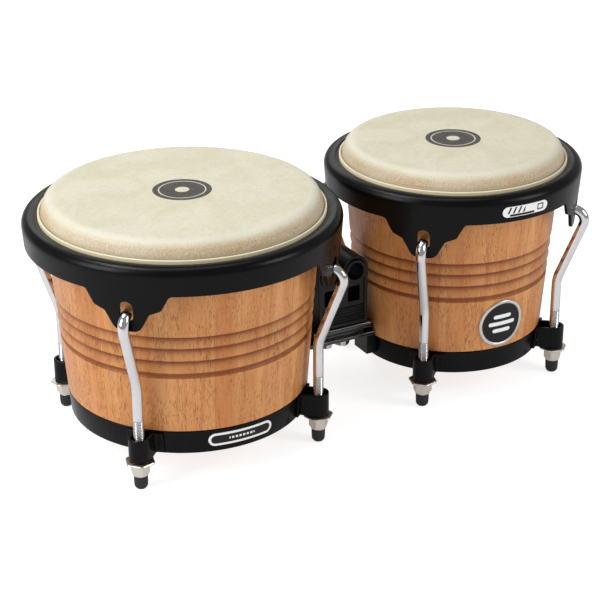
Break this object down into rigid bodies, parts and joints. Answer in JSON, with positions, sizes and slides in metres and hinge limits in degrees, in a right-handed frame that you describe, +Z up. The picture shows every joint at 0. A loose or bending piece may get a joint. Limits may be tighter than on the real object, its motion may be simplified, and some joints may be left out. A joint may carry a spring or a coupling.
{
  "type": "bongo drums",
  "caption": "Pair of joined bongo drums: tapered wooden shells, rawhide heads under rolled rims, hooked tuning rods with nuts and rubber tips, and a hollow centre block.",
  "frame": {"origin": "bottom centre of the bounding box, level with the flat ends of the rubber tips", "axes": "+X from the large drum to the small drum, +Y away from the labelled side, +Z up through the heads"},
  "size_m": [0.4646, 0.2408, 0.1963],
  "materials": {
    "shell_wood": "clear satin varnish over fine straight grain, darker in the grooves",
    "rawhide": "natural rawhide, matt, slightly mottled",
    "rim_steel": "black satin powder coat on rolled steel",
    "rod_chrome": "polished, with a rolled thread at the lower end",
    "hardware_nickel": "warm nickel plating, slightly dull",
    "foot_rubber": "black moulded rubber",
    "block_black": "black satin coat over a fine cast texture",
    "bar_steel": "black satin paint",
    "label_white": "printed film",
    "badge_dark": "dark enamel with a light border"
  },
  "bodies": {
    "frame": {"large_shell": "shell_wood", "large_head": "rawhide", "large_bottom_ring": "rim_steel", "large_washer_1": "hardware_nickel", "large_washer_2": "hardware_nickel", "large_washer_3": "hardware_nickel", "large_washer_4": "hardware_nickel", "large_bracket": "block_black", "small_shell": "shell_wood", "small_head": "rawhide", "small_bottom_ring": "rim_steel", "small_washer_1": "hardware_nickel", "small_washer_2": "hardware_nickel", "small_washer_3": "hardware_nickel", "small_washer_4": "hardware_nickel", "small_bracket": "block_black", "centre_block": "block_black", "clamp_bar": "bar_steel", "base_plate": "bar_steel", "block_bolt_1": "hardware_nickel", "block_bolt_2": "hardware_nickel", "block_bolt_3": "hardware_nickel", "block_bolt_4": "hardware_nickel", "large_ring_label": "label_white", "small_badge": "badge_dark"},
    "large_tuning": {"large_rim": "rim_steel", "large_flesh_hoop": "rawhide", "large_rod_1": "rod_chrome", "large_rod_2": "rod_chrome", "large_rod_3": "rod_chrome", "large_rod_4": "rod_chrome", "large_foot_1": "foot_rubber", "large_foot_2": "foot_rubber", "large_foot_3": "foot_rubber", "large_foot_4": "foot_rubber"},
    "large_nut_1": {"large_nut_1": "hardware_nickel"},
    "large_nut_2": {"large_nut_2": "hardware_nickel"},
    "large_nut_3": {"large_nut_3": "hardware_nickel"},
    "large_nut_4": {"large_nut_4": "hardware_nickel"},
    "small_tuning": {"small_rim": "rim_steel", "small_flesh_hoop": "rawhide", "small_rod_1": "rod_chrome", "small_rod_2": "rod_chrome", "small_rod_3": "rod_chrome", "small_rod_4": "rod_chrome", "small_foot_1": "foot_rubber", "small_foot_2": "foot_rubber", "small_foot_3": "foot_rubber", "small_foot_4": "foot_rubber", "small_rim_label": "label_white"},
    "small_nut_1": {"small_nut_1": "hardware_nickel"},
    "small_nut_2": {"small_nut_2": "hardware_nickel"},
    "small_nut_3": {"small_nut_3": "hardware_nickel"},
    "small_nut_4": {"small_nut_4": "hardware_nickel"}
  },
  "joints": [
    {"name": "large_nut_1_turn", "type": "hinge", "parent": "frame", "child": "large_nut_1", "pos_m": [-0.18657, -0.07467, 0.0155], "axis": [0, 0, 1], "range_deg": [0, 1080]},
    {"name": "large_nut_2_turn", "type": "hinge", "parent": "frame", "child": "large_nut_2", "pos_m": [-0.03723, -0.07467, 0.0155], "axis": [0, 0, 1], "range_deg": [0, 1080]},
    {"name": "large_nut_3_turn", "type": "hinge", "parent": "frame", "child": "large_nut_3", "pos_m": [-0.03723, 0.07467, 0.0155], "axis": [0, 0, 1], "range_deg": [0, 1080]},
    {"name": "large_nut_4_turn", "type": "hinge", "parent": "frame", "child": "large_nut_4", "pos_m": [-0.18657, 0.07467, 0.0155], "axis": [0, 0, 1], "range_deg": [0, 1080]},
    {"name": "large_rim_travel", "type": "slide", "parent": "frame", "child": "large_tuning", "axis": [0, 0, -1], "range_m": [0, 0.00375]},
    {"name": "small_nut_1_turn", "type": "hinge", "parent": "frame", "child": "small_nut_1", "pos_m": [0.06439, -0.06371, 0.0155], "axis": [0, 0, 1], "range_deg": [0, 1080]},
    {"name": "small_nut_2_turn", "type": "hinge", "parent": "frame", "child": "small_nut_2", "pos_m": [0.19181, -0.06371, 0.0155], "axis": [0, 0, 1], "range_deg": [0, 1080]},
    {"name": "small_nut_3_turn", "type": "hinge", "parent": "frame", "child": "small_nut_3", "pos_m": [0.19181, 0.06371, 0.0155], "axis": [0, 0, 1], "range_deg": [0, 1080]},
    {"name": "small_nut_4_turn", "type": "hinge", "parent": "frame", "child": "small_nut_4", "pos_m": [0.06439, 0.06371, 0.0155], "axis": [0, 0, 1], "range_deg": [0, 1080]},
    {"name": "small_rim_travel", "type": "slide", "parent": "frame", "child": "small_tuning", "axis": [0, 0, -1], "range_m": [0, 0.00375]}
  ],
  "couplings": [
    {"joint": "large_nut_1_turn", "follows": "large_rim_travel", "rad_per_m": 5026.5},
    {"joint": "large_nut_2_turn", "follows": "large_rim_travel", "rad_per_m": 5026.5},
    {"joint": "large_nut_3_turn", "follows": "large_rim_travel", "rad_per_m": 5026.5},
    {"joint": "large_nut_4_turn", "follows": "large_rim_travel", "rad_per_m": 5026.5},
    {"joint": "small_nut_1_turn", "follows": "small_rim_travel", "rad_per_m": 5026.5},
    {"joint": "small_nut_2_turn", "follows": "small_rim_travel", "rad_per_m": 5026.5},
    {"joint": "small_nut_3_turn", "follows": "small_rim_travel", "rad_per_m": 5026.5},
    {"joint": "small_nut_4_turn", "follows": "small_rim_travel", "rad_per_m": 5026.5}
  ]
}
